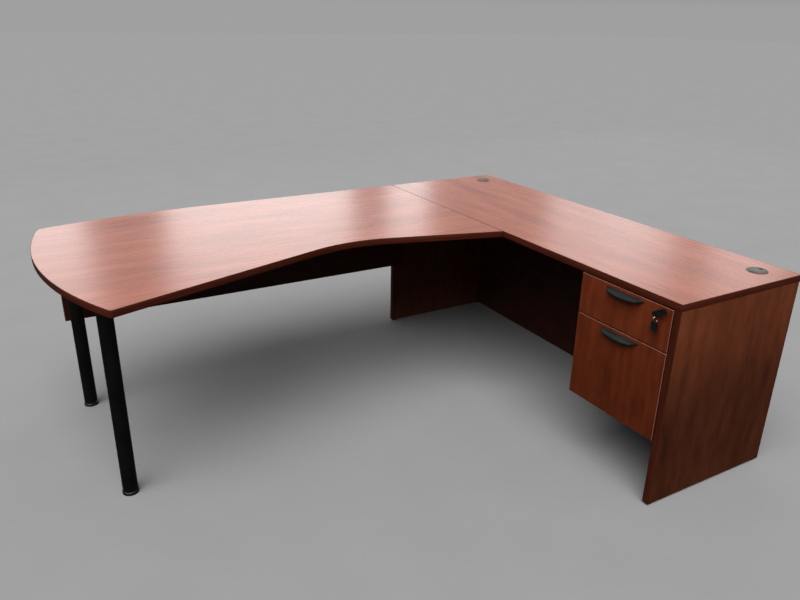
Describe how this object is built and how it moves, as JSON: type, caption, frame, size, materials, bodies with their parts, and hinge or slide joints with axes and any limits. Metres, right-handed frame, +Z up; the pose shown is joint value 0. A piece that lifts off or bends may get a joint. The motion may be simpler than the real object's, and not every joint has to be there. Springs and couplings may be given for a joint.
{
  "type": "corner desk",
  "caption": "L-shaped laminate office desk: waisted, bow-ended peninsula on post legs joined to a gable-ended credenza with a hanging lockable drawer pedestal.",
  "frame": {"origin": "on the floor, in the middle of the whole desk's plan", "axes": "+X from the bowed end of the peninsula to the credenza, +Y from the user's side to the back edge, +Z up"},
  "size_m": [2.301, 1.829, 0.752],
  "materials": {
    "laminate_top": "wood-grain laminate, satin",
    "laminate_side": "wood-grain laminate, satin",
    "laminate_front": "wood-grain laminate, satin",
    "edge_band": "PVC edge band, satin",
    "black_steel": "black powder coat",
    "black_plastic": "moulded, satin",
    "grey_plastic": "moulded, satin",
    "zinc": "bright zinc plate",
    "beech": "bare turned dowel",
    "drawer_board": "maple-print board"
  },
  "bodies": {
    "frame": {"peninsula_top": "laminate_top", "peninsula_edge_band": "edge_band", "credenza_top": "laminate_top", "credenza_edge_band": "edge_band", "far_gable": "laminate_side", "near_gable": "laminate_side", "panel_edge_bands": "edge_band", "back_panel": "laminate_side", "modesty_panel": "laminate_side", "modesty_brackets": "zinc", "joining_plates": "zinc", "underside_screws": "zinc", "cam_fittings": "zinc", "wood_dowels": "beech", "front_post_leg": "black_steel", "rear_post_leg": "black_steel", "leg_plates": "black_steel", "leg_inserts": "black_plastic", "gable_glides": "black_plastic", "near_grommet_ring": "grey_plastic", "far_grommet_ring": "grey_plastic", "pedestal_near_side": "laminate_side", "pedestal_far_side": "laminate_side", "pedestal_bottom": "laminate_side", "pedestal_back": "laminate_side", "pedestal_rails": "laminate_side", "pedestal_screws": "zinc", "slide_outer_members": "zinc"},
    "upper_drawer": {"upper_drawer_front": "laminate_front", "upper_front_edge_band": "edge_band", "upper_drawer_near_side": "drawer_board", "upper_drawer_far_side": "drawer_board", "upper_drawer_back": "drawer_board", "upper_drawer_bottom": "drawer_board", "upper_slide_inner_members": "zinc", "upper_pull": "black_plastic", "upper_pull_screws": "zinc", "lock_housing": "black_steel"},
    "lower_drawer": {"lower_drawer_front": "laminate_front", "lower_front_edge_band": "edge_band", "lower_drawer_near_side": "drawer_board", "lower_drawer_far_side": "drawer_board", "lower_drawer_back": "drawer_board", "lower_drawer_bottom": "drawer_board", "lower_slide_inner_members": "zinc", "lower_pull": "black_plastic", "lower_pull_screws": "zinc", "file_rails": "zinc"},
    "lower_slide_middle": {"lower_slide_middle_members": "zinc"},
    "lock": {"lock_plug": "zinc", "lock_cam": "zinc", "key_blade": "zinc", "key_head": "black_plastic"},
    "hanging_key": {"key_ring": "zinc", "spare_key": "black_plastic"},
    "near_cap": {"near_grommet_cap": "grey_plastic"},
    "far_cap": {"far_grommet_cap": "grey_plastic"},
    "front_foot": {"front_leg_foot": "black_plastic"},
    "rear_foot": {"rear_leg_foot": "black_plastic"}
  },
  "joints": [
    {"name": "upper_drawer_slide", "type": "slide", "parent": "frame", "child": "upper_drawer", "axis": [-1, 0, 0], "range_m": [0, 0.3]},
    {"name": "lower_drawer_slide", "type": "slide", "parent": "frame", "child": "lower_drawer", "axis": [-1, 0, 0], "range_m": [0, 0.38]},
    {"name": "lower_slide_extend", "type": "slide", "parent": "frame", "child": "lower_slide_middle", "axis": [-1, 0, 0], "range_m": [0, 0.19]},
    {"name": "lock_turn", "type": "hinge", "parent": "upper_drawer", "child": "lock", "pos_m": [0.5455, -0.8305, 0.692], "axis": [1, 0, 0], "range_deg": [-90, 0]},
    {"name": "key_ring_swing", "type": "hinge", "parent": "lock", "child": "hanging_key", "pos_m": [0.529, -0.83536, 0.68711], "axis": [1, 0, 0], "range_deg": [0, 90]},
    {"name": "near_cap_turn", "type": "hinge", "parent": "frame", "child": "near_cap", "pos_m": [1.0455, -0.8145, 0.749], "axis": [0, 0, 1], "continuous": true},
    {"name": "far_cap_turn", "type": "hinge", "parent": "frame", "child": "far_cap", "pos_m": [1.0455, 0.8095, 0.749], "axis": [0, 0, 1], "continuous": true},
    {"name": "front_foot_turn", "type": "hinge", "parent": "frame", "child": "front_foot", "pos_m": [-0.9885, 0.0095, 0.006], "axis": [0, 0, 1], "continuous": true},
    {"name": "rear_foot_turn", "type": "hinge", "parent": "frame", "child": "rear_foot", "pos_m": [-1.0215, 0.7095, 0.006], "axis": [0, 0, 1], "continuous": true}
  ],
  "couplings": [
    {"joint": "lower_slide_extend", "follows": "lower_drawer_slide", "ratio": 0.5},
    {"joint": "key_ring_swing", "follows": "lock_turn", "ratio": -1}
  ]
}
